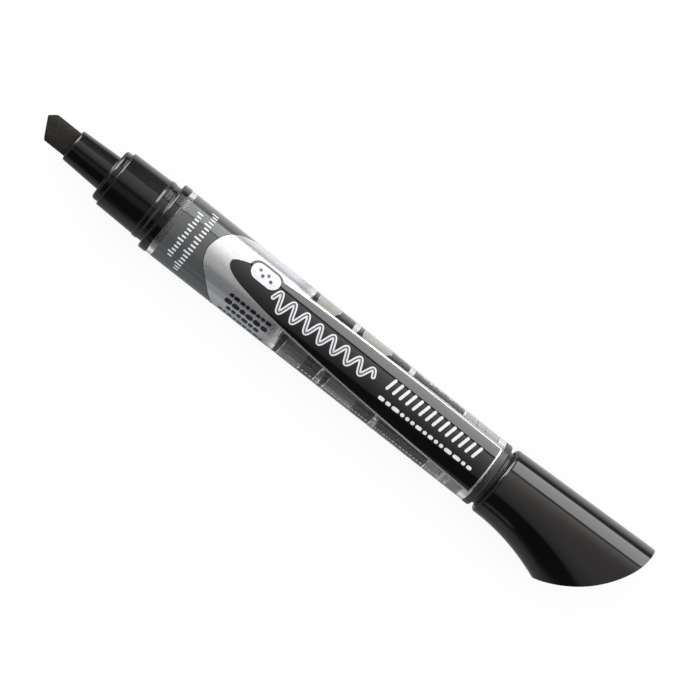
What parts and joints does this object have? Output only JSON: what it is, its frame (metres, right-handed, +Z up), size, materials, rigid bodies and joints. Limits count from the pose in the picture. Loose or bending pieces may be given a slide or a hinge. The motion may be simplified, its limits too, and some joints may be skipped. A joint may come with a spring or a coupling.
{
  "type": "whiteboard marker",
  "caption": "Whiteboard marker with a chisel nib, stepped front section, clear free-ink barrel with a printed wrap, and a flared pull-off cap posted on its tail.",
  "frame": {"origin": "centre of the overall box at its lowest level, the surface that the marker lies on", "axes": "+X along the marker's axis from the nib to the posted cap, +Y away from the cap's flared heel, +Z up from the surface"},
  "size_m": [0.1342, 0.0178, 0.014],
  "materials": {
    "black_plastic": "moulded black plastic with a soft gloss",
    "clear_plastic": "clear moulded plastic, glossy",
    "label_film": "thin glossy film, printed in grey, silver and black",
    "nib_felt": "pressed polyester fibre soaked with black ink",
    "wick_fibre": "bonded fibre rod, ink-stained",
    "dark_regulator": "dark moulded plastic, wetted by ink",
    "black_rubber": "soft black elastomer",
    "natural_plastic": "natural translucent plastic"
  },
  "bodies": {
    "marker": {"chisel_nib": "nib_felt", "nib_holder": "black_plastic", "front_section": "black_plastic", "front_seal_ring": "black_rubber", "wick_grommet": "black_rubber", "feed_wick": "wick_fibre", "barrel_tube": "clear_plastic", "label_wrap": "label_film", "front_collector": "natural_plastic", "regulator_front": "dark_regulator", "regulator_middle": "dark_regulator", "regulator_rear": "dark_regulator", "chamber_seal_front": "black_rubber", "chamber_seal_middle": "black_rubber", "tail_seal": "natural_plastic", "rear_plug": "black_plastic"},
    "cap": {"cap_shell": "black_plastic", "cap_liner": "natural_plastic"}
  },
  "joints": [
    {"name": "cap_pull", "type": "slide", "parent": "marker", "child": "cap", "axis": [1, 0, 0], "range_m": [0, 0.03]}
  ]
}
